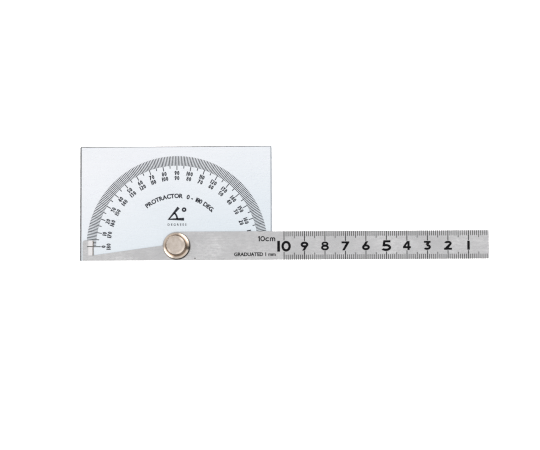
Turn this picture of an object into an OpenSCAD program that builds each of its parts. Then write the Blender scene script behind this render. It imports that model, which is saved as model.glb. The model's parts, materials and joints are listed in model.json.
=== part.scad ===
// Arm protractor: a flat stainless head plate with a 0-180 degree dial, and an
// arm that swings on a riveted stud and is locked by a round screw knob. The
// right side of the arm is a 100 mm ruler and its left end carries the index
// that reads the dial.
// Origin: pivot axis on the back of the plate. +X runs along the arm to the
// zero end of the ruler, +Y to the top of the dial, +Z out of the scale face.

/* [Head plate] */
// Width of the plate
plate_w = 94.4; // [94:0.1:110]
// Position of the plate's middle along X, from the pivot axis
plate_x = -0.5; // [-0.5:0.1:0.5]
// Height of the plate above the pivot axis
plate_top = 49.3; // [46:0.1:60]
// Thickness of the plate
plate_t = 1; // [0.8:0.1:1.5]
// Radius of the plate's corners
plate_corner_r = 0.5; // [0.3:0.1:2]
// Width of the bevel along the plate's two ends
end_bevel_w = 0.75; // [0.2:0.05:0.8]
// Width of the bevel along the plate's top edge
top_bevel_w = 0.4; // [0.2:0.05:0.8]

/* [Dial] */
// Outer radius of the degree lines
dial_r = 44.4; // [44:0.1:46]
// Length of a 1 degree line
deg_1_l = 4.7; // [3:0.1:6]
// Length of a 5 degree line
deg_5_l = 6; // [4:0.1:7]
// Length of a 10 degree line
deg_10_l = 6.9; // [5:0.1:8]
// Width of a 1 degree line
deg_line_w = 0.35; // [0.15:0.01:0.4]
// Width of a 5 or 10 degree line
major_line_w = 0.4; // [0.15:0.01:0.4]
// Height of the dial numerals
dial_num_h = 2.1; // [1.4:0.1:2.2]
// Width of a dial numeral
dial_num_w = 1.1; // [0.9:0.02:1.1]
// Radius of the middle of the outer row of numerals
outer_num_r = 36.1; // [35.6:0.1:36.4]
// Radius of the middle of the inner row of numerals
inner_num_r = 33.6; // [32:0.1:33.8]

/* [Arm] */
// Width of the arm
arm_w = 14; // [12:0.5:16]
// Thickness of the arm
arm_t = 1; // [0.8:0.1:1.5]
// Distance from the pivot to the zero end of the ruler
arm_reach = 152.5; // [152:0.5:180]
// Distance from the pivot to the far side of the index hook
hook_reach = 46.2; // [46:0.1:46.4]
// Width of the index hook along the arm
hook_w = 5.2; // [4:0.1:5.5]
// Height of the hook's top above the pivot axis
hook_top = 3; // [2:0.1:5]
// Radius of the hook's outer top corner
hook_corner_r = 1; // [0.5:0.1:2]
// Width of the hook's bevel, which the index line crosses
bevel_w = 2; // [1:0.1:2.5]
// Width of the steep land past the bevel, at the reading edge
land_w = 0.4; // [0.3:0.05:0.8]
// Thickness left at the reading edge
edge_t = 0.25; // [0.1:0.05:0.3]
// Height of the pointer where it meets the hook
pointer_root_h = 2.6; // [2:0.1:4]
// Slope of the pointer's upper edge in degrees
pointer_slope = 7.8; // [6.5:0.1:10]
// Diameter of the centre-punch mark in the arm
punch_d = 0.9; // [0.5:0.1:1.2]

/* [Ruler] */
// Number of centimetres on the ruler
ruler_cm = 10; // [1:1:10]
// Length of a millimetre line
mm_tick_l = 2.5; // [1.5:0.1:3]
// Length of a 5 mm line
half_tick_l = 3.5; // [3:0.1:4]
// Width of a millimetre line
tick_w = 0.3; // [0.15:0.01:0.4]
// Width of a centimetre line
cm_line_w = 0.4; // [0.15:0.01:0.5]
// Height of the ruler numerals
ruler_num_h = 4.4; // [3:0.1:4.6]
// Height of the 5 and the 10
ruler_big_h = 5.3; // [4:0.1:5.6]
// Gap between a centimetre line and its numeral
num_gap = 0.2; // [0.1:0.1:0.8]
// Height of the unit label
unit_h = 2.6; // [1.5:0.1:2.8]

/* [Pivot and lock] */
// Diameter of the stud's journal, on which the arm turns
journal_d = 6; // [5:0.5:6]
// Radial clearance between the arm and the journal
arm_clear = 0.03; // [0.01:0.01:0.1]
// Diameter of the stud's tail, riveted into the plate
tail_d = 4; // [3:0.5:4.5]
// Diameter of the countersunk rivet head at the back of the plate
rivet_d = 5.6; // [5:0.2:7]
// Outer diameter of the shim under the arm
shim_d = 13; // [10:0.5:14]
// Thickness of the shim
shim_t = 0.2; // [0.1:0.05:0.3]
// Diameter of the stud's thread
thread_d = 5; // [4:0.5:5]
// Distance across the flats of the stud
flats_w = 4; // [3:0.1:4]
// Thickness of the keyed washer
keyed_t = 0.4; // [0.3:0.1:0.8]
// Thickness of the pressed spring washer
spring_t = 0.3; // [0.2:0.05:0.5]
// Diameter of the knob's flange
knob_flange_d = 12.7; // [12.6:0.1:16]
// Diameter of the knob's top
knob_top_d = 9.8; // [9.8:0.2:10.6]
// Height of the knob
knob_h = 7.5; // [7.5:0.5:10]

/* [Hidden] */
$fn = 96;

eps = 0.01;
ink_t = 0.03;
half_w = arm_w / 2;
plate_bottom = -half_w;
arm_z = plate_t + shim_t;
arm_face_z = arm_z + arm_t;
keyed_z = arm_face_z;
spring_z = keyed_z + keyed_t;
knob_z = spring_z + spring_t;
hook_inner = -hook_reach + hook_w;
bevel_x = hook_inner - land_w - bevel_w;
bevel_drop = 0.35;
pointer_rise = tan(pointer_slope);
pointer_root_y = -half_w + pointer_root_h;

plate_bevel_angle = 37;
plate_mid_y = (plate_top + plate_bottom) / 2;
rivet_recess = 0.1;
rivet_h = 0.5;
journal_top = arm_face_z - 0.1;
thread_top = knob_z + 5;
tip_chamfer = 0.5;
keyed_clear = 0.05;
keyed_d = 13.2;
spring_d = 11;
spring_bore = 5.6;

boss_d = 11.4;
boss_h = 1.1;
flange_low = 2.4;
flange_side = 0.3;
flange_bevel_w = 0.85;
flange_bevel_h = 0.52;
neck_d = 8.4;
neck_low = 2.6;
neck_high = 5.2;
knob_edge = 0.2;
face_slope_w = 0.85;
face_slope_h = 0.25;
rim_bevel_w = 0.4;
rim_bevel_h = 0.36;
knob_bore_h = 5.4;
turning_d = 6.4;
turning_depth = 0.03;
turning_w = 0.4;

punch_x = 8.9;
punch_y = -6.1;
punch_depth = 0.35;
dial_stroke = 0.46;
dial_gap = 0.18;
ruler_stroke = 1.1;
big_stroke = 1.2;
big_gap = 0.7;
ruler_num_y = -0.35;
unit_stroke = 0.5;
unit_gap = 0.24;
unit_x = -12.37;
unit_y = 3.4;
numeral_aspect = 0.87;
dial_seg = 16;
ruler_seg = 32;

// ---- Shapes shared by the marks ----

// Points along an elliptical arc, from angle a0 to angle a1
function arc(rx, ry, a0, a1, n) =
    [for (i = [0:n]) [rx * cos(a0 + (a1 - a0) * i / n),
        ry * sin(a0 + (a1 - a0) * i / n)]];

// Same points in the opposite order
function flip(p) = [for (i = [len(p) - 1:-1:0]) p[i]];

// Whole numbers from a to b
function span(a, b) = [for (i = [a:b]) i];

// Closed oval stroke
module ring(rx, ry, t, n) {
    outer = arc(rx, ry, 0, 360 - 360 / n, n - 1);
    inner = arc(rx - t, ry - t, 0, 360 - 360 / n, n - 1);
    polygon(concat(outer, inner), [span(0, n - 1), span(n, 2 * n - 1)]);
}

// Open oval stroke from angle a0 up to angle a1
module bow(rx, ry, t, a0, a1, n)
    polygon(concat(arc(rx, ry, a0, a1, n), flip(arc(rx - t, ry - t, a0, a1, n))));

// Slanting stroke with level ends, cut w wide along X
module slant(x0, y0, x1, y1, w)
    polygon([[x0 - w / 2, y0], [x0 + w / 2, y0], [x1 + w / 2, y1], [x1 - w / 2, y1]]);

// Upright or level bar about its middle
module bar(x, y, w, h)
    translate([x - w / 2, y - h / 2])
        square([w, h]);

// Quarter disc in the corner of +X and +Y
module quarter(r)
    intersection() {
        circle(r);
        square(r + 1);
    }

// Numeral d in a box w wide and h high, stroke t, n facets a turn; the 1 is a bar
module digit(d, h, w, t, n) {
    if (d == 0) ring(w / 2, h / 2, t, n);
    if (d == 1) bar(0, 0, one_w(t), h);
    if (d == 2) digit_2(h, w, t, n);
    if (d == 3) digit_3(h, w, t, n);
    if (d == 4) digit_4(h, w, t);
    if (d == 5) digit_5(h, w, t, n);
    if (d == 6) digit_6(h, w, t, n);
    if (d == 7) digit_7(h, w, t);
    if (d == 8) digit_8(h, w, t, n);
    if (d == 9) rotate(180) digit_6(h, w, t, n);
}

function one_w(t) = t * 1.12;

module digit_2(h, w, t, n) {
    rx = w * 0.48;
    ry = h * 0.29;
    a_end = -40;
    translate([0, h / 2 - ry]) {
        bow(rx, ry, t, a_end, 165, n / 2);
        polygon([[(rx - t) * cos(a_end), (ry - t) * sin(a_end)],
            [-w / 2, ry - h + t * 0.5], [-w / 2, ry - h], [t * 1.4 - w / 2, ry - h],
            [rx * cos(a_end), ry * sin(a_end)]]);
    }
    bar(0, t * 0.45 - h / 2, w, t * 0.9);
}

module digit_3(h, w, t, n) {
    r = h * 0.32;
    bar(-w * 0.02, h / 2 - t * 0.42, w * 0.86, t * 0.84);
    slant(-w * 0.06, h * 0.08, w * 0.22, h / 2 - t * 0.2, t * 1.35);
    translate([-w * 0.06, -h / 2 + r])
        bow(w / 2, r, t, -145, 100, n / 2);
}

module digit_4(h, w, t) {
    stem = w * 0.2;
    base = -h * 0.3;
    bar_top = base + t * 0.9;
    polygon([[-w / 2, base], [stem - t / 2, base], [stem - t / 2, -h / 2],
        [stem + t / 2, -h / 2], [stem + t / 2, base], [w / 2, base],
        [w / 2, bar_top], [stem + t / 2, bar_top], [stem + t / 2, h / 2],
        [stem - t * 0.7, h / 2], [-w / 2, bar_top - t * 0.1],
        [stem - t / 2, bar_top], [stem - t / 2, h * 0.22], [-w * 0.16, bar_top]],
        [span(0, 10), span(11, 13)]);
}

module digit_5(h, w, t, n) {
    r = h * 0.33;
    bar(w * 0.06, h / 2 - t * 0.45, w * 0.74, t * 0.9);
    slant(-w * 0.3, -h * 0.07, -w * 0.2, h / 2 - t * 0.2, t);
    translate([-w * 0.06, -h / 2 + r])
        bow(w * 0.56, r, t, -145, 125, n / 2);
}

module digit_6(h, w, t, n) {
    r = h * 0.33;
    translate([0, -h / 2 + r])
        ring(w / 2, r, t, n);
    slant(-w * 0.25, 2 * r - h / 2 - t * 0.8, w * 0.14, h / 2, t * 1.2);
}

module digit_7(h, w, t)
    polygon([[-w / 2, h / 2], [w / 2, h / 2], [w / 2, h / 2 - t * 0.5],
        [-w * 0.1, -h / 2], [-w * 0.1 - t * 1.15, -h / 2],
        [w / 2 - t * 1.5, h / 2 - t * 0.9], [-w / 2, h / 2 - t * 0.9]]);

module digit_8(h, w, t, n) {
    r_top = h * 0.27;
    r_low = h / 2 - r_top + t * 0.35;
    translate([0, h / 2 - r_top])
        ring(w * 0.44, r_top, t * 0.82, n);
    translate([0, -h / 2 + r_low])
        ring(w / 2, r_low, t * 0.9, n);
}

// Digits of a whole number, first digit first
function digits(v) = v < 10 ? [v] : concat(digits(floor(v / 10)), [v % 10]);

// Width of a run of digits, up to and including digit i
function run_w(d, i, w, t, gap) = i < 0 ? -gap
    : run_w(d, i - 1, w, t, gap) + gap + (d[i] == 1 ? one_w(t) : w);

function number_w(v, w, t, gap) = run_w(digits(v), len(digits(v)) - 1, w, t, gap);

// Whole number centred on the origin
module number(v, h, w, t, gap, n) {
    d = digits(v);
    for (i = [0:len(d) - 1])
        translate([(run_w(d, i - 1, w, t, gap) + gap + run_w(d, i, w, t, gap)
            - number_w(v, w, t, gap)) / 2, 0])
            digit(d[i], h, w, t, n);
}

// Mark cut from a 2D shape, standing on the plate or on the arm
module on_plate()
    color("#2a2c30")
        translate([0, 0, plate_t])
            linear_extrude(ink_t)
                children();

module on_arm()
    color("#222326")
        translate([0, 0, arm_face_z])
            linear_extrude(ink_t)
                children();

// ---- Head ----

module scale_plate() {
    color("#e9edf2")
    difference() {
        linear_extrude(plate_t)
            plate_outline();
        translate([0, 0, -eps])
            cylinder(h = plate_t + 2 * eps, d = tail_d);
        translate([0, 0, -eps])
            cylinder(h = rivet_h + eps, d = rivet_d);
        translate([plate_x, plate_top, plate_t])
            rotate([0, 0, 90])
                edge_wedge(plate_w, top_bevel_w);
        for (a = [0, 180])
            translate([plate_x, plate_mid_y, plate_t])
                rotate([0, 0, a])
                    translate([plate_w / 2, 0])
                        edge_wedge(plate_top - plate_bottom, end_bevel_w);
    }
}

// Wedge that bevels an upper edge of the plate; the edge runs along Y, the plate at -X
module edge_wedge(edge_l, w)
    translate([0, edge_l / 2 + 1, 0])
        rotate([90, 0, 0])
            linear_extrude(edge_l + 2)
                polygon([[-w, 0], [1, -(1 + w) * tan(plate_bevel_angle)], [1, 1], [-w, 1]]);

// Rectangle with rounded corners, its bottom edge in line with the arm
module plate_outline() {
    r = plate_corner_r;
    h = plate_top - plate_bottom;
    bar(plate_x, plate_mid_y, plate_w, h - 2 * r);
    bar(plate_x, plate_mid_y, plate_w - 2 * r, h);
    for (a = [0, 180])
        translate([plate_x, plate_mid_y])
            rotate(a) {
                translate([plate_w / 2 - r, h / 2 - r])
                    quarter(r);
                translate([r - plate_w / 2, h / 2 - r])
                    rotate(90)
                        quarter(r);
            }
}

// Riveted tail, journal for the arm, and a threaded end with two flats
module pivot_stud() {
    color("#b9b6b0")
    difference() {
        union() {
            translate([0, 0, rivet_recess])
                cylinder(h = rivet_h - rivet_recess, d = rivet_d);
            translate([0, 0, rivet_h - eps])
                cylinder(h = plate_t - rivet_h + 2 * eps, d = tail_d);
            translate([0, 0, plate_t])
                cylinder(h = journal_top - plate_t, d = journal_d);
            translate([0, 0, journal_top - eps])
                cylinder(h = thread_top - tip_chamfer - journal_top + eps, d = thread_d);
            translate([0, 0, thread_top - tip_chamfer])
                cylinder(h = tip_chamfer, d1 = thread_d, d2 = thread_d - 2 * tip_chamfer);
        }
        for (a = [0, 180])
            rotate(a)
                translate([-journal_d, flats_w / 2, journal_top])
                    cube([2 * journal_d, journal_d, thread_top]);
    }
}

// Ring that keeps the arm clear of the marks on the plate
module arm_shim()
    color("#c9b27c")
        translate([0, 0, plate_t])
            difference() {
                cylinder(h = shim_t, d = shim_d);
                translate([0, 0, -eps])
                    cylinder(h = shim_t + 2 * eps, d = journal_d + 2 * arm_clear);
            }

// Lines on the dial at each multiple of step that skips the multiples of skip
module degree_lines(step, skip, line_l, w)
    on_plate()
        for (a = [0:step:180])
            if (skip == 0 || a % skip != 0)
                rotate(a)
                    translate([dial_r - line_l, -w / 2])
                        square([line_l, w]);

module degree_lines_1() degree_lines(1, 5, deg_1_l, deg_line_w);

module degree_lines_5() degree_lines(5, 10, deg_5_l, major_line_w);

module degree_lines_10() degree_lines(10, 0, deg_10_l, major_line_w);

// Row of numerals with their tops outward, counting up from the left if turn is
// -1 and from the right if it is 1
module dial_row(r, turn)
    on_plate()
        for (v = [0:10:180])
            rotate(turn * (v - 90))
                translate([0, r])
                    number(v, dial_num_h, dial_num_w, dial_stroke, dial_gap, dial_seg);

module dial_numerals_outer() dial_row(outer_num_r, -1);

module dial_numerals_inner() dial_row(inner_num_r, 1);

// ---- Arm ----

module arm_outline() {
    translate([0, -half_w])
        square([arm_reach, arm_w]);
    rotate(90)
        quarter(half_w);
    pointer();
    hook();
}

// Tapered bar that runs under the dial to the hook
module pointer()
    polygon([[hook_inner - 1, -half_w], [0, -half_w],
        [0, pointer_root_y - hook_inner * pointer_rise],
        [hook_inner, pointer_root_y], [hook_inner - 1, pointer_root_y]]);

module hook() {
    r = hook_corner_r;
    translate([-hook_reach, -half_w])
        square([hook_w, half_w + hook_top - r]);
    translate([-hook_reach + r, -half_w])
        square([hook_w - r, half_w + hook_top]);
    translate([-hook_reach + r, hook_top - r])
        rotate(90)
            quarter(r);
}

module arm()
    color("#c6c7c7")
    difference() {
        translate([0, 0, arm_z])
            linear_extrude(arm_t)
                arm_outline();
        translate([0, 0, arm_z - eps])
            cylinder(h = arm_t + 2 * eps, r = journal_d / 2 + arm_clear);
        reading_bevel();
        translate([punch_x, punch_y, arm_face_z - punch_depth])
            cylinder(h = punch_depth + eps, d1 = punch_d * 0.4, d2 = punch_d);
    }

// Wedge taken off the hook's scale side, from the pointer to the hook's top
module reading_bevel()
    translate([bevel_x, hook_top, arm_face_z])
        rotate([90, 0, 0])
            linear_extrude(hook_top - pointer_root_y)
                polygon([[0, 0], [bevel_w, -bevel_drop],
                    [bevel_w + land_w, edge_t - arm_t], [bevel_w + land_w, 0]]);

// Position along X of the ruler's line at mm millimetres
function ruler_x(mm) = arm_reach - mm;

// Line of length l at the top (side 1) or the bottom (side -1) of the arm
module tick(mm, l, side, w)
    bar(ruler_x(mm), side * (half_w - l / 2), w, l);

module mm_ticks(side)
    on_arm()
        for (mm = [1:ruler_cm * 10 - 1])
            if (mm % 5 != 0)
                tick(mm, mm_tick_l, side, tick_w);

module arm_ticks_top() mm_ticks(1);

module arm_ticks_bottom() mm_ticks(-1);

module arm_half_ticks()
    on_arm()
        for (mm = [5:10:ruler_cm * 10 - 5], side = [-1, 1])
            tick(mm, half_tick_l, side, tick_w);

function ruler_h(cm) = cm % 5 == 0 ? ruler_big_h : ruler_num_h;

module arm_cm_lines()
    on_arm()
        for (cm = [1:ruler_cm], side = [-1, 1])
            tick(cm * 10, half_w - ruler_h(cm) / 2 - num_gap - side * ruler_num_y, side,
                cm_line_w);

module arm_numerals()
    on_arm()
        for (cm = [1:ruler_cm]) {
            h = ruler_h(cm);
            translate([ruler_x(cm * 10), ruler_num_y])
                number(cm, h, h * numeral_aspect,
                    cm % 5 == 0 ? big_stroke : ruler_stroke, big_gap, ruler_seg);
        }

// Small "10cm" beside the ruler's last line
module unit_label() {
    w = unit_h * numeral_aspect;
    num_w = number_w(ruler_cm, w, unit_stroke, unit_gap);
    low_h = unit_h * 0.76;
    on_arm()
        translate([ruler_x(ruler_cm * 10) + unit_x, unit_y]) {
            translate([num_w / 2, 0])
                number(ruler_cm, unit_h, w, unit_stroke, unit_gap, dial_seg);
            slant(-unit_stroke * 0.5, unit_h * 0.2, unit_stroke * 0.6, unit_h / 2, unit_stroke);
            translate([num_w + unit_gap, (low_h - unit_h) / 2]) {
                translate([low_h * 0.52, 0])
                    bow(low_h * 0.56, low_h / 2, unit_stroke, 45, 315, dial_seg);
                translate([low_h * 1.08, 0])
                    letter_m(low_h * 1.35, low_h, unit_stroke);
            }
        }
}

// Letter m from the left side: three legs joined by two round arches
module letter_m(w, h, t) {
    pitch = (w - t) / 2;
    arch_r = (pitch + t) / 2;
    for (i = [0:2])
        translate([i * pitch, -h / 2])
            square([t, h - arch_r + eps]);
    for (i = [0:1])
        translate([i * pitch + arch_r, h / 2 - arch_r])
            bow(arch_r, arch_r, t, 0, 180, dial_seg / 2);
}

// Index across the hook's bevel, level with the pivot; it follows the slope
module index_line()
    color("#2a2c30")
        translate([bevel_x, deg_line_w / 2, arm_face_z])
            rotate([90, 0, 0])
                linear_extrude(deg_line_w)
                    polygon([[-0.6, 0], [0, 0], [bevel_w, -bevel_drop],
                        [bevel_w, ink_t - bevel_drop], [0, ink_t], [-0.6, ink_t]]);

// ---- Lock ----

// Stadium-shaped hole that fits over the stud's flats
module keyed_hole()
    intersection() {
        circle(thread_d / 2 + keyed_clear);
        square([2 * thread_d, flats_w + 2 * keyed_clear], center = true);
    }

// Washer keyed to the stud, so that the knob can't drag the arm round
module keyed_washer()
    color("#2b2b2d")
        translate([0, 0, keyed_z])
            linear_extrude(keyed_t)
                difference() {
                    circle(d = keyed_d);
                    keyed_hole();
                }

// Spring washer, pressed flat under the closed knob
module spring_washer()
    color("#8f8f8c")
        translate([0, 0, spring_z])
            difference() {
                cylinder(h = spring_t, d = spring_d);
                translate([0, 0, -eps])
                    cylinder(h = spring_t + 2 * eps, d = spring_bore);
            }

// Turned knob, outline from the bottom up: boss, bevelled flange, sloping groove, neck and
// a flat head that slopes to a bevelled rim; the bore is blind
module lock_knob() {
    bore_r = thread_d / 2 + keyed_clear;
    flange_r = knob_flange_d / 2;
    flange_top = flange_low + flange_side;
    top_r = knob_top_d / 2;
    mark_r = turning_d / 2;
    boss = [[bore_r, 0], [boss_d / 2, 0], [boss_d / 2, boss_h]];
    flange = [[flange_r, flange_low], [flange_r, flange_top],
        [flange_r - flange_bevel_w, flange_top + flange_bevel_h]];
    neck = [[neck_d / 2, neck_low], [neck_d / 2, neck_high],
        [top_r - knob_edge, neck_high], [top_r, neck_high + knob_edge]];
    slope_r = top_r - rim_bevel_w;
    slope_z = knob_h - face_slope_h;
    rim = [[top_r, slope_z - rim_bevel_h], [slope_r, slope_z],
        [slope_r - face_slope_w, knob_h]];
    top = [[mark_r + turning_w, knob_h], [mark_r + turning_w / 2, knob_h - turning_depth],
        [mark_r, knob_h], [0, knob_h], [0, knob_bore_h], [bore_r, knob_bore_h]];
    color("#ccbfb6")
        translate([0, 0, knob_z])
            rotate_extrude()
                polygon(concat(boss, flange, neck, rim, top));
}

scale_plate();
pivot_stud();
arm_shim();
arm();
keyed_washer();
spring_washer();
lock_knob();
degree_lines_1();
degree_lines_5();
degree_lines_10();
dial_numerals_outer();
dial_numerals_inner();
arm_ticks_top();
arm_ticks_bottom();
arm_half_ticks();
arm_cm_lines();
arm_numerals();
unit_label();
index_line();
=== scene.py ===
"""Looks of the arm protractor: steels, ink, plated knob, plain lettering, studio and camera.

Everything is placed from the frame, in metres. +X runs along the arm, +Y is the dial's top.
"""

import json
import math

import bmesh
import bpy
from mathutils import Matrix, Vector


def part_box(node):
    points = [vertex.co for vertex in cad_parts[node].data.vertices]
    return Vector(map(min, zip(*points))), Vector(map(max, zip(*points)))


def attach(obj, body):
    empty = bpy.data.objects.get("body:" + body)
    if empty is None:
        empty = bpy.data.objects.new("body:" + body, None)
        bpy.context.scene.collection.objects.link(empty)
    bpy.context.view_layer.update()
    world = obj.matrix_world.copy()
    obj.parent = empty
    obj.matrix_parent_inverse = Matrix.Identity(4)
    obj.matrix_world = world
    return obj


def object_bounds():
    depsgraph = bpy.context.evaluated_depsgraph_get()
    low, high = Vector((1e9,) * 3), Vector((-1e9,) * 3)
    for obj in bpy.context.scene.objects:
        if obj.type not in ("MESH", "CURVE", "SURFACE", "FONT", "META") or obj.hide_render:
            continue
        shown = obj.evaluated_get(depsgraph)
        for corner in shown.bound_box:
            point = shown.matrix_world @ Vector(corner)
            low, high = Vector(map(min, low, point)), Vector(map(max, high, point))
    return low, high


MM = 0.001

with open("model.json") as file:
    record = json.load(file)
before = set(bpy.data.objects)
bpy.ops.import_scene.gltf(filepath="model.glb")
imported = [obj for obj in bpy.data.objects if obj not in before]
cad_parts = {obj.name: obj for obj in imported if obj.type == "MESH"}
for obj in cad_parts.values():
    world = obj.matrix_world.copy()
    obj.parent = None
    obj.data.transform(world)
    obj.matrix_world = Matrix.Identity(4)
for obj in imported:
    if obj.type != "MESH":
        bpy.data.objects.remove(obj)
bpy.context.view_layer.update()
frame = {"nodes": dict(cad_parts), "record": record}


# ---- Node graphs ----

# Density of a scratch pattern along its scratches, as a share of that across them.
SCRATCH_STRETCH = 0.06


def add(tree, kind, inputs=None, **settings):
    """New node of a kind. inputs takes values or sockets by the input's name or number."""
    node = tree.nodes.new(kind)
    for name, value in settings.items():
        setattr(node, name, value)
    for key, value in (inputs or {}).items():
        if isinstance(value, bpy.types.NodeSocket):
            tree.links.new(value, node.inputs[key])
        else:
            node.inputs[key].default_value = value
    return node


def math_node(tree, operation, a, b=0.0):
    """Result of a math node on numbers or sockets."""
    return add(tree, "ShaderNodeMath", {0: a, 1: b}, operation=operation).outputs[0]


def remap(tree, value, from_low, from_high, to_low, to_high):
    """Value carried from one range to another, held at the ends."""
    node = add(tree, "ShaderNodeMapRange", {"Value": value, "From Min": from_low,
               "From Max": from_high, "To Min": to_low, "To Max": to_high})
    return node.outputs["Result"]


def blend_colour(tree, factor, a, b, mode="MIX"):
    """Colour a turning into b with factor, in one of the mix node's modes.

    a and b are colours or sockets.
    """
    node = add(tree, "ShaderNodeMix", data_type="RGBA", blend_type=mode)
    for socket, value in ((node.inputs[0], factor), (node.inputs[6], a), (node.inputs[7], b)):
        if isinstance(value, bpy.types.NodeSocket):
            tree.links.new(value, socket)
        elif isinstance(value, (int, float)):
            socket.default_value = value
        else:
            socket.default_value = (*value, 1)
    return node.outputs[2]


def noise(tree, coords, per_metre, detail):
    """Noise whose grains are about 1 / per_metre metres along X, Y and Z."""
    placed = add(tree, "ShaderNodeMapping", {"Vector": coords, "Scale": per_metre})
    node = add(tree, "ShaderNodeTexNoise", {"Vector": placed.outputs[0], "Scale": 1.0,
               "Detail": detail, "Roughness": 0.55})
    return node.outputs["Fac"]


def new_material(name, metallic, roughness):
    """Principled material with its graph, its shader and its object coordinates."""
    material = bpy.data.materials.new(name)
    material.use_nodes = True
    tree = material.node_tree
    shader = tree.nodes["Principled BSDF"]
    shader.inputs["Metallic"].default_value = metallic
    shader.inputs["Roughness"].default_value = roughness
    coords = add(tree, "ShaderNodeTexCoord").outputs["Object"]
    return material, tree, shader, coords


def scratches(tree, coords, per_metre, angle, width):
    """1 on thin straight scratches that run near an angle, 0 elsewhere.

    They lie about 1 / per_metre metres apart, and width is a share of that.
    """
    turned = add(tree, "ShaderNodeMapping", {"Vector": coords, "Rotation": (0, 0, angle)})
    stretched = add(tree, "ShaderNodeMapping", {"Vector": turned.outputs[0],
                    "Scale": (per_metre * SCRATCH_STRETCH, per_metre, per_metre)})
    cells = add(tree, "ShaderNodeTexVoronoi", {"Vector": stretched.outputs[0], "Scale": 1.0},
                feature="DISTANCE_TO_EDGE")
    return remap(tree, cells.outputs["Distance"], 0.0, width, 1.0, 0.0)


def dirt_and_painted_shade(tree, tone, reach, closed, clear, darkest):
    """Tone darkened in hollows and against other parts: painted contact shade, with some dirt.

    reach is how far off a neighbour counts. A place as open as clear keeps its tone, and one
    as shut in as closed is multiplied by darkest.
    """
    openness = add(tree, "ShaderNodeAmbientOcclusion", {"Distance": reach}).outputs["AO"]
    dirt_and_shade = remap(tree, openness, closed, clear, darkest, 1.0)
    return blend_colour(tree, 1.0, tone, dirt_and_shade, mode="MULTIPLY")


def bump(tree, shader, height, strength, depth, under=None):
    """Adds relief over the normal under, and gives the normal with it.

    height runs from 0 to 1, depth is in metres, and a strength below 0 sinks what is high.
    """
    inputs = {"Height": height, "Strength": strength, "Distance": depth}
    if under is not None:
        inputs["Normal"] = under
    node = add(tree, "ShaderNodeBump", inputs)
    tree.links.new(node.outputs[0], shader.inputs["Normal"])
    return node.outputs[0]


# ---- Materials ----

# Grains of each pattern per metre, along X, Y and Z.
ROLLED_GRAIN = (90, 7000, 7000)
ROLLED_STREAKS = (12, 900, 900)
SHEET_SPOTS = (500, 1000, 1000)
SHEET_SPECKLE = (2600, 2600, 2600)
METAL_WEAR = (420, 420, 420)
INK_PATCHES = (900, 900, 900)
INK_GRIT = (9000, 9000, 9000)
FLOOR_CLOUDS = (8, 8, 8)
# The same for lathe rings, along the radius and Z.
FINE_RINGS = (3200, 3200, 1)
BROAD_RINGS = (700, 700, 1)

# Painted shade: the dark tone given to the sheets' upright sides.
PAINTED_SIDE_SHADE = (0.42, 0.42, 0.43)
# Upward part of the normal where the bevels' painted edge tone gives way to a flat face's, and
# where the upright sides' painted shade gives way to the bevels' tone.
BEVEL_RANGE = (0.985, 0.995)
SIDE_RANGE = (0.2, 0.5)
# Direction in which a sheet's painted reflection grows, and where along it that painted
# reflection starts and is full.
PAINTED_REFLECTION_DIRECTION = (0.3, -1, 0)
PAINTED_REFLECTION_RANGE = (-50 * MM, 5 * MM)

# Settings of the painted contact shade, with some dirt, for the sheets and for the turned
# parts.
SHEET_DIRT_AND_SHADE = {"reach": 0.7 * MM, "closed": 0.35, "clear": 0.85, "darkest": 0.25}
TURNED_DIRT_AND_SHADE = {"reach": 1.5 * MM, "closed": 0.3, "clear": 0.8, "darkest": 0.15}

# Lowest and highest roughness that a metal's grain or wear gives, as a share of its own.
ROUGHNESS_SPREAD = (0.85, 1.15)
# What a sheet's roughness loses in a scratch, and its share that a ground bevel keeps.
SCRATCH_GLOSS = 0.08
GROUND_ROUGHNESS = 0.5
# How far broad lathe rings and wear turn a turned metal's tone to dark.
RING_DARKENING = 0.45
WEAR_DARKENING = 0.8
# How far rubbing turns the ink's tone to worn, and its roughness from smooth to gritty.
INK_RUBBED = 0.6
INK_ROUGHNESS = (0.45, 0.7)


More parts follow.
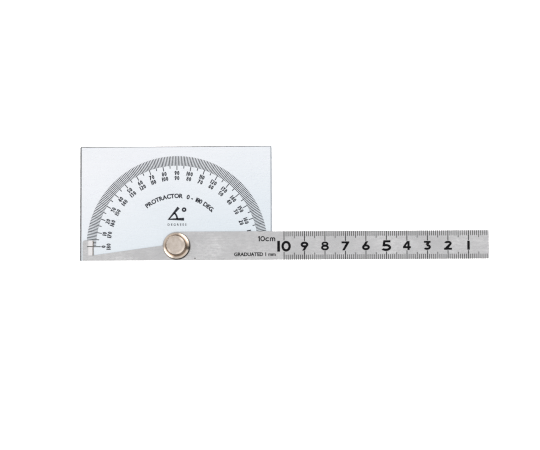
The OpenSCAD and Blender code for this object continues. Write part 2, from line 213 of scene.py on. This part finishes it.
def sheet_steel(name, pale, deep, painted_edge_tone, roughness, grain_depth, cloud_size, streak, mottle,
                painted_reflection_tint=(1, 1, 1)):
    """Rolled stainless sheet: fine grain along X, cloudy tone, faint scratches.

    pale and deep are the two tones of the clouds, and cloud_size is theirs, in metres.
    painted_edge_tone is the tone of the bevels and edges: a painted highlight where it is
    lighter than the sheet, and painted shade where it is darker.
    grain_depth is the grain's, in metres.
    streak and mottle say how far lines along X and spots of 1 mm turn the tone to deep.
    painted_reflection_tint multiplies the tone more and more towards -Y and, less, towards +X:
    a painted reflection.
    """
    material, tree, shader, coords = new_material(name, 1.0, roughness)
    clouds = noise(tree, coords, [1 / cloud_size] * 3, detail=4)
    grain = noise(tree, coords, ROLLED_GRAIN, detail=2)
    streaks = noise(tree, coords, ROLLED_STREAKS, detail=3)
    spots = noise(tree, coords, SHEET_SPOTS, detail=3)
    speckle = noise(tree, coords, SHEET_SPECKLE, detail=2)
    fine = scratches(tree, coords, per_metre=420, angle=math.radians(3), width=0.02)
    cross = scratches(tree, coords, per_metre=260, angle=math.radians(-28), width=0.008)
    marks = math_node(tree, "MAXIMUM", fine, cross)

    tone = blend_colour(tree, remap(tree, clouds, 0.3, 0.7, 0.0, 1.0), deep, pale)
    tone = blend_colour(tree, remap(tree, streaks, 0.35, 0.65, 0.0, streak), tone, deep)
    tone = blend_colour(tree, remap(tree, spots, 0.42, 0.62, 0.0, mottle), tone, deep)
    tone = blend_colour(tree, remap(tree, speckle, 0.4, 0.75, 0.0, mottle), tone, deep)

    # Painted reflection: the tone is multiplied by a colour more and more towards -Y and,
    # less, towards +X.
    along = add(tree, "ShaderNodeVectorMath", {0: coords, 1: PAINTED_REFLECTION_DIRECTION},
                operation="DOT_PRODUCT").outputs["Value"]
    painted_reflection = blend_colour(tree, remap(tree, along, *PAINTED_REFLECTION_RANGE, 0.0, 1.0), (1, 1, 1), painted_reflection_tint)
    tone = blend_colour(tree, 1.0, tone, painted_reflection, mode="MULTIPLY")

    facing = add(tree, "ShaderNodeNewGeometry").outputs["Normal"]
    upright = add(tree, "ShaderNodeSeparateXYZ", {0: facing}).outputs[2]
    flatness = math_node(tree, "ABSOLUTE", upright)
    bevelled = remap(tree, flatness, *BEVEL_RANGE, 1.0, 0.0)
    side = remap(tree, flatness, *SIDE_RANGE, 1.0, 0.0)
    # Painted edge tone on the bevels: a painted highlight on the arm, a painted dark edge line
    # on the plate.
    tone = blend_colour(tree, bevelled, tone, painted_edge_tone)
    # Painted shade: the upright sides turn dark.
    tone = blend_colour(tree, side, tone, PAINTED_SIDE_SHADE)
    # Painted contact shade, with some dirt: darker in hollows and near other parts.
    tone = dirt_and_painted_shade(tree, tone, **SHEET_DIRT_AND_SHADE)
    tree.links.new(tone, shader.inputs["Base Color"])

    least, most = (roughness * share for share in ROUGHNESS_SPREAD)
    rough = remap(tree, grain, 0.25, 0.75, least, most)
    rough = math_node(tree, "ADD", rough, remap(tree, marks, 0.0, 1.0, 0.0, -SCRATCH_GLOSS))
    polished = remap(tree, bevelled, 0.0, 1.0, 1.0, GROUND_ROUGHNESS)
    tree.links.new(math_node(tree, "MULTIPLY", rough, polished), shader.inputs["Roughness"])

    first = bump(tree, shader, grain, strength=0.25, depth=grain_depth)
    bump(tree, shader, marks, strength=-0.15, depth=grain_depth, under=first)
    return material


def turned_metal(name, base, dark, roughness, ring_depth):
    """Lathe-turned metal about the Z axis: concentric rings on flats, grain round the sides.

    base is its tone where clean and dark where worn. ring_depth is the rings', in metres.
    """
    material, tree, shader, coords = new_material(name, 1.0, roughness)
    split = add(tree, "ShaderNodeSeparateXYZ", {0: coords})
    flat = add(tree, "ShaderNodeCombineXYZ", {0: split.outputs[0], 1: split.outputs[1]})
    radius = add(tree, "ShaderNodeVectorMath", {0: flat.outputs[0]}, operation="LENGTH")
    profile = add(tree, "ShaderNodeCombineXYZ",
                  {0: radius.outputs["Value"], 1: split.outputs[2]})
    rings = noise(tree, profile.outputs[0], FINE_RINGS, detail=3)
    broad = noise(tree, profile.outputs[0], BROAD_RINGS, detail=2)
    wear = noise(tree, coords, METAL_WEAR, detail=3)

    tone = blend_colour(tree, remap(tree, broad, 0.35, 0.65, 0.0, RING_DARKENING), base, dark)
    tone = blend_colour(tree, remap(tree, wear, 0.4, 0.7, 0.0, WEAR_DARKENING), tone, dark)
    # Painted contact shade, with some dirt: darker in hollows and near other parts.
    tone = dirt_and_painted_shade(tree, tone, **TURNED_DIRT_AND_SHADE)
    tree.links.new(tone, shader.inputs["Base Color"])
    least, most = (roughness * share for share in ROUGHNESS_SPREAD)
    tree.links.new(remap(tree, wear, 0.3, 0.7, least, most), shader.inputs["Roughness"])
    bump(tree, shader, rings, strength=0.35, depth=ring_depth)
    return material


def etched_ink(name, tone, worn):
    """Black fill of an etched mark, a little rubbed, matt and slightly grainy."""
    material, tree, shader, coords = new_material(name, 0.0, 0.55)
    shader.inputs["Specular IOR Level"].default_value = 0.03
    rubbed = noise(tree, coords, INK_PATCHES, detail=4)
    grit = noise(tree, coords, INK_GRIT, detail=2)
    colour = blend_colour(tree, remap(tree, rubbed, 0.5, 0.75, 0.0, INK_RUBBED), tone, worn)
    tree.links.new(colour, shader.inputs["Base Color"])
    tree.links.new(remap(tree, grit, 0.3, 0.7, *INK_ROUGHNESS), shader.inputs["Roughness"])
    bump(tree, shader, grit, strength=0.3, depth=0.004 * MM)
    return material


BY_SLOT = {
    "plate_steel": sheet_steel(
        "plate_satin_steel", pale=(0.96, 0.965, 0.985), deep=(0.89, 0.91, 0.94),
        painted_edge_tone=(0.70, 0.78, 0.88), roughness=0.30, grain_depth=0.002 * MM,
        cloud_size=0.05, streak=0.2, mottle=0.15, painted_reflection_tint=(0.875, 0.925, 0.94)),
    "arm_steel": sheet_steel(
        "arm_brushed_steel", pale=(0.77, 0.762, 0.758), deep=(0.53, 0.525, 0.525),
        painted_edge_tone=(0.86, 0.84, 0.83), roughness=0.30, grain_depth=0.006 * MM,
        cloud_size=0.012, streak=0.5, mottle=0.65),
    "knob_nickel": turned_metal(
        "knob_warm_nickel", base=(0.69, 0.61, 0.54), dark=(0.53, 0.45, 0.38),
        roughness=0.13, ring_depth=0.004 * MM),
    "stud_steel": turned_metal(
        "stud_turned_steel", base=(0.58, 0.57, 0.55), dark=(0.42, 0.41, 0.40),
        roughness=0.32, ring_depth=0.006 * MM),
    "shim_brass": turned_metal(
        "shim_brass", base=(0.62, 0.48, 0.24), dark=(0.48, 0.36, 0.18),
        roughness=0.35, ring_depth=0.004 * MM),
    # The washer's near-black tone is painted shade: it stands in for the dark band under the
    # knob's flange.
    "washer_steel": turned_metal(
        "washer_painted_shade_black", base=(0.075, 0.072, 0.07), dark=(0.05, 0.05, 0.05),
        roughness=0.35, ring_depth=0.004 * MM),
    "spring_steel": turned_metal(
        "spring_steel", base=(0.30, 0.30, 0.29), dark=(0.20, 0.20, 0.20),
        roughness=0.42, ring_depth=0.005 * MM),
    "dial_ink": etched_ink(
        "dial_ink", tone=(0.010, 0.011, 0.014), worn=(0.05, 0.052, 0.058)),
    "ruler_ink": etched_ink(
        "ruler_ink", tone=(0.002, 0.002, 0.0025), worn=(0.014, 0.014, 0.014)),
}

for part in frame["record"]["subparts"]:
    cad_object = frame["nodes"][part["node"]]
    cad_object.data.materials.clear()
    cad_object.data.materials.append(BY_SLOT[part["material_slot"]])


# ---- Broken edges ----


def break_edges(node, width, segments=3, over=35):
    """Small rounds on edges sharper than an angle in degrees, which catch the light."""
    modifier = frame["nodes"][node].modifiers.new("broken_edges", "BEVEL")
    modifier.width = width
    modifier.segments = segments
    modifier.limit_method = "ANGLE"
    modifier.angle_limit = math.radians(over)
    modifier.harden_normals = True


break_edges("scale_plate", 0.05 * MM, segments=2)
break_edges("arm", 0.12 * MM)
break_edges("lock_knob", 0.12 * MM, over=12)
break_edges("keyed_washer", 0.06 * MM, segments=2)


# ---- Plain lettering ----

INK_THICKNESS = 0.02 * MM
# Size to ask of the built-in font for capitals of height 1, and the width of a space.
FONT_SIZE = 1.38
SPACE_WIDTH = 0.5


def letter_mesh(text, height, spacing=1.0, weight=0.058):
    """Flat letters in the built-in font, from x = 0 along +X, as a bmesh, and their width.

    weight thickens the strokes on each side, in letter heights.
    """
    curve = bpy.data.curves.new("letters", "FONT")
    curve.body = text
    curve.size = height * FONT_SIZE
    curve.space_character = spacing
    curve.extrude = INK_THICKNESS / 2
    curve.offset = height * weight
    curve.resolution_u = 4
    source = bpy.data.objects.new("letters", curve)
    bpy.context.scene.collection.objects.link(source)
    bpy.context.view_layer.update()
    mesh = bpy.data.meshes.new_from_object(
        source.evaluated_get(bpy.context.evaluated_depsgraph_get()))
    made = bmesh.new()
    made.from_mesh(mesh)
    bpy.data.objects.remove(source)
    bpy.data.curves.remove(curve)
    bpy.data.meshes.remove(mesh)
    return made, max(v.co.x for v in made.verts)


def finish_piece(name, made, z, body, slot):
    """Turns a bmesh into a piece on a body, whose underside lies at height z."""
    made.transform(Matrix.Translation((0, 0, z + INK_THICKNESS / 2)))
    mesh = bpy.data.meshes.new(name)
    made.to_mesh(mesh)
    made.free()
    mesh.materials.append(BY_SLOT[slot])
    piece = bpy.data.objects.new(name, mesh)
    bpy.context.scene.collection.objects.link(piece)
    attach(piece, body)


def merge(target, source, matrix):
    """Adds a moved copy of one bmesh to another and frees it."""
    source.transform(matrix)
    mesh = bpy.data.meshes.new("merge")
    source.to_mesh(mesh)
    source.free()
    target.from_mesh(mesh)
    bpy.data.meshes.remove(mesh)


def arc_words(text, radius, height, start, end):
    """Words set clockwise round the pivot from angle start to angle end, tops outward."""
    whole = bmesh.new()
    letters = [(None, height * SPACE_WIDTH) if letter == " " else letter_mesh(letter, height)
               for letter in text]
    total = sum(width for _, width in letters)
    gap = ((start - end) * radius - total) / (len(text) - 1)
    along = 0.0
    for made, width in letters:
        angle = start - (along + width / 2) / radius
        if made is not None:
            place = (Matrix.Rotation(angle - math.pi / 2, 4, "Z")
                     @ Matrix.Translation((-width / 2, radius - height / 2, 0)))
            merge(whole, made, place)
        along += width + gap
    return whole


def strip(points, width, closed=False):
    """Bar of ink of constant width along a line of points, or round a closed loop of them."""
    made = bmesh.new()
    sides = []
    last = len(points) - 1
    for i, point in enumerate(points):
        if closed:
            ahead = points[(i + 1) % len(points)] - points[i - 1]
        else:
            ahead = points[min(i + 1, last)] - points[max(i - 1, 0)]
        across = Vector((-ahead.y, ahead.x)).normalized() * width / 2
        sides.append((point + across, point - across))
    rows = [[made.verts.new((*p, z * INK_THICKNESS / 2)) for z in (-1, 1) for p in pair]
            for pair in sides]
    following = rows[1:] + rows[:1] if closed else rows[1:]
    for a, b in zip(rows, following):
        for i, j in ((0, 1), (1, 3), (3, 2), (2, 0)):
            made.faces.new((a[i], a[j], b[j], b[i]))
    if not closed:
        for end in (rows[0], rows[-1]):
            made.faces.new((end[0], end[1], end[3], end[2]))
    bmesh.ops.recalc_face_normals(made, faces=made.faces)
    return made


def arc_points(centre, radius, start, end, count):
    """Points along an arc from angle start to angle end, in count steps."""
    return [centre + radius * Vector((math.cos(a), math.sin(a)))
            for a in (start + (end - start) * i / count for i in range(count + 1))]


plate_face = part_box("scale_plate")[1].z
dial_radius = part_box("degree_lines_10")[1].x
arm_low, arm_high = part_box("arm")
ten_line_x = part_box("arm_cm_lines")[0].x

WORDS_RADIUS = dial_radius * 0.56
WORDS_HEIGHT = 2.1 * MM
WORDS_START = math.radians(128)
WORDS_END = math.radians(44)
words = arc_words("PROTRACTOR  0 - 180 DEG.", WORDS_RADIUS, WORDS_HEIGHT,
                  WORDS_START, WORDS_END)
finish_piece("dial_words", words, plate_face, "head", "dial_ink")

# Angle symbol: two legs, the arc between them and a small degree ring over the lower leg.
SYMBOL_CORNER = Vector((-4.0 * MM, dial_radius * 0.3))
SYMBOL_LEG = 7.5 * MM
SYMBOL_ANGLE = math.radians(50)
SYMBOL_STROKE = 1.45 * MM
ARC_RADIUS = SYMBOL_LEG * 0.55
ARC_STROKE = SYMBOL_STROKE * 0.6
RING_RADIUS = SYMBOL_LEG * 0.1
RING_STROKE = SYMBOL_STROKE * 0.55
RING_RISE = SYMBOL_LEG * 0.62
lower_tip, upper_tip = arc_points(SYMBOL_CORNER, SYMBOL_LEG, 0, SYMBOL_ANGLE, 1)
ring_centre = lower_tip + Vector((0, RING_RISE))
arc = arc_points(SYMBOL_CORNER, ARC_RADIUS, 0, SYMBOL_ANGLE, 16)
ring = arc_points(ring_centre, RING_RADIUS, 0, 2 * math.pi, 24)[1:]
symbol = bmesh.new()
for stroke in (
    strip([upper_tip, SYMBOL_CORNER, lower_tip], SYMBOL_STROKE),
    strip(arc, ARC_STROKE),
    strip(ring, RING_STROKE, closed=True),
):
    merge(symbol, stroke, Matrix.Identity(4))
finish_piece("angle_symbol", symbol, plate_face, "head", "dial_ink")

UNIT_HEIGHT = 1.1 * MM
UNIT_DROP = 3.2 * MM
unit, unit_width = letter_mesh("DEGREES", UNIT_HEIGHT, spacing=1.7, weight=0.03)
unit.transform(Matrix.Translation((-unit_width / 2, SYMBOL_CORNER.y - UNIT_DROP, 0)))
finish_piece("unit_word", unit, plate_face, "head", "dial_ink")

NOTE_HEIGHT = 1.75 * MM
NOTE_GAP = 3.9 * MM
NOTE_RISE = 1.95 * MM
note, note_width = letter_mesh("GRADUATED 1 mm", NOTE_HEIGHT, spacing=0.98, weight=0.05)
note_left = ten_line_x - NOTE_GAP - note_width
note.transform(Matrix.Translation((note_left, arm_low.y + NOTE_RISE, 0)))
finish_piece("arm_note", note, arm_high.z, "arm", "ruler_ink")


# ---- Studio ----

# The dome's tones from the horizon up: Z on the dome and the tone there.
DOME_TONES = (
    (0.0, (0.10, 0.075, 0.055)),
    (0.17, (0.09, 0.075, 0.06)),
    (0.3, (0.70, 0.67, 0.64)),
    (0.8, (0.925, 0.925, 0.935)),
    (1.0, (0.93, 0.935, 0.95)),
)
# Soft panels of the sky: azimuth from +X in degrees, Z on the dome, angle of the full
# glow, angle where it ends, and what it adds to the dome's strength of 1.
PANELS = (
    (50, 0.48, 16, 32, 2.3),
    (215, 0.44, 16, 32, 2.3),
    (-50, 0.78, 10, 34, 0.45),
    (135, 0.4, 12, 30, 0.3),
)
# Dark flag, placed as a panel is, and the share of the strength that it leaves.
DARK_FLAG = (-8, 0.48, 5, 11)
FLAG_SHARE = 0.1

FLOOR_SIZE = 4.0
FLOOR_GAP = 0.02 * MM

# Key lamp. Its place is counted from the object's middle.
KEY_OFFSET = 1.25 * Vector((0.3, -0.15, 1.0))
KEY_SIZE = 1.2
KEY_WATTS = 42.0
KEY_COLOUR = (1.0, 0.99, 0.98)


def toward(tree, direction, azimuth, height, inner, outer):
    """1 within the angle inner of a place in the sky, 0 past the angle outer.

    azimuth is in degrees from +X, and height is the place's Z on the unit dome.
    """
    flat = math.sqrt(1 - height * height)
    turn = math.radians(azimuth)
    place = (flat * math.cos(turn), flat * math.sin(turn), height)
    near = add(tree, "ShaderNodeVectorMath", {0: direction, 1: place}, operation="DOT_PRODUCT")
    return remap(tree, near.outputs["Value"], math.cos(math.radians(outer)),
                 math.cos(math.radians(inner)), 0.0, 1.0)


def sky_world():
    """Bright dome overhead that falls to a dim warm horizon, which metal sides reflect.

    Its panels and flag give the metals their light and dark sides. The camera itself sees a
    plain pale backdrop.
    """
    world = bpy.data.worlds.new("studio")
    bpy.context.scene.world = world
    world.use_nodes = True
    tree = world.node_tree
    tree.nodes.clear()
    direction = add(tree, "ShaderNodeTexCoord").outputs["Generated"]
    height = add(tree, "ShaderNodeSeparateXYZ", {0: direction}).outputs[2]
    ramp = add(tree, "ShaderNodeValToRGB", {0: height})
    stops = ramp.color_ramp.elements
    for stop, (position, tone) in zip(stops, (DOME_TONES[0], DOME_TONES[-1])):
        stop.position, stop.color = position, (*tone, 1)
    for position, tone in DOME_TONES[1:-1]:
        stops.new(position).color = (*tone, 1)

    strength = 1.0
    for azimuth, high, inner, outer, gain in PANELS:
        glow = toward(tree, direction, azimuth, high, inner, outer)
        strength = math_node(tree, "ADD", strength, math_node(tree, "MULTIPLY", glow, gain))
    flag = remap(tree, toward(tree, direction, *DARK_FLAG), 0.0, 1.0, 1.0, FLAG_SHARE)
    strength = math_node(tree, "MULTIPLY", strength, flag)
    dome = add(tree, "ShaderNodeBackground", {"Color": ramp.outputs[0], "Strength": strength})
    plain = add(tree, "ShaderNodeBackground", {"Color": (1, 1, 1, 1), "Strength": 1.0})
    camera_ray = add(tree, "ShaderNodeLightPath").outputs["Is Camera Ray"]
    shown = add(tree, "ShaderNodeMixShader", {0: camera_ray, 1: dome.outputs[0],
                2: plain.outputs[0]})
    add(tree, "ShaderNodeOutputWorld", {0: shown.outputs[0]})


def soft_light(name, place, target, size, power, colour):
    """Square lamp that lights the floor. Metal mirrors the dome only, not the lamp."""
    light = bpy.data.lights.new(name, "AREA")
    light.size = size
    light.energy = power
    light.color = colour
    lamp = bpy.data.objects.new(name, light)
    lamp.location = place
    lamp.rotation_mode = "QUATERNION"
    lamp.rotation_quaternion = (place - target).to_track_quat("Z", "Y")
    lamp.visible_glossy = False
    bpy.context.scene.collection.objects.link(lamp)


def pale_floor(z):
    """Large matt floor with its top at height z."""
    made = bmesh.new()
    bmesh.ops.create_grid(made, x_segments=1, y_segments=1, size=FLOOR_SIZE / 2)
    mesh = bpy.data.meshes.new("floor")
    made.to_mesh(mesh)
    made.free()
    material, tree, shader, coords = new_material("pale_floor", 0.0, 0.9)
    clouds = noise(tree, coords, FLOOR_CLOUDS, detail=3)
    colour = blend_colour(tree, clouds, (0.93, 0.93, 0.93), (0.95, 0.95, 0.95))
    tree.links.new(colour, shader.inputs["Base Color"])
    shader.inputs["Specular IOR Level"].default_value = 0.1
    mesh.materials.append(material)
    floor = bpy.data.objects.new("floor", mesh)
    floor.location.z = z
    bpy.context.scene.collection.objects.link(floor)


sky_world()
low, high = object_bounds()
middle = (low + high) / 2
pale_floor(low.z - FLOOR_GAP)
soft_light("key", middle + KEY_OFFSET, middle, KEY_SIZE, KEY_WATTS, KEY_COLOUR)

# Camera nearly overhead, leaning towards the near edge and the ruler's end, and turned a
# little, as the tool lies in the picture.
TARGET = Vector((45.67 * MM, 10.1 * MM, 2.0 * MM))
VIEW_WIDTH = 264.3 * MM
DISTANCE = 1.0
LEAN_X = math.radians(1.4)
LEAN_Y = math.radians(4.4)
ROLL = math.radians(-0.23)
camera_data = bpy.data.cameras.new("camera")
camera_data.sensor_width = 36.0
camera_data.lens = camera_data.sensor_width * DISTANCE / VIEW_WIDTH
camera_data.clip_start = 0.05
camera_data.clip_end = 20.0
camera = bpy.data.objects.new("camera", camera_data)
away = Vector((math.tan(LEAN_X), -math.tan(LEAN_Y), 1.0)).normalized()
camera.location = TARGET + away * DISTANCE
level = Vector((0, 1, 0)).cross(away).normalized()
right = Matrix.Rotation(ROLL, 3, away) @ level
up = away.cross(right)
camera.rotation_mode = "QUATERNION"
camera.rotation_quaternion = Matrix((right, up, away)).transposed().to_quaternion()
bpy.context.scene.collection.objects.link(camera)
bpy.context.scene.camera = camera

bpy.context.scene.cycles.filter_width = 1.25
bpy.context.scene.view_settings.view_transform = "Standard"
bpy.context.scene.view_settings.look = "None"
